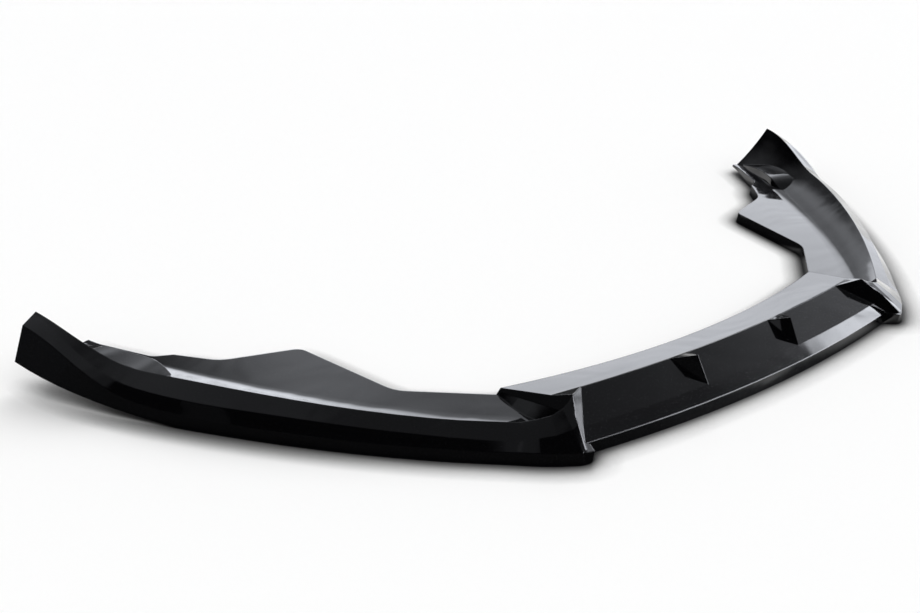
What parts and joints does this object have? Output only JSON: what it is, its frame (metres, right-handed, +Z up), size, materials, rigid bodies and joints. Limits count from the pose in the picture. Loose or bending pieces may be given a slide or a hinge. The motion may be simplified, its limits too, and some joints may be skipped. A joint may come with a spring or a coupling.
{
  "type": "front splitter lip",
  "caption": "Low wide car front splitter lip in gloss black plastic, with a raked finned centre, splayed fences, shaped shelves and swept-up arms",
  "frame": {"origin": "on the floor, at the middle of the footprint", "axes": "X runs across the car between the arm ends, -Y is the nose, Z is up"},
  "size_m": [1.8462, 0.7447, 0.105],
  "materials": {
    "black_abs": "gloss black moulded ABS sheet, smooth, with a light orange peel"
  },
  "bodies": {
    "root": {"splitter_lip": "black_abs"}
  },
  "joints": []
}
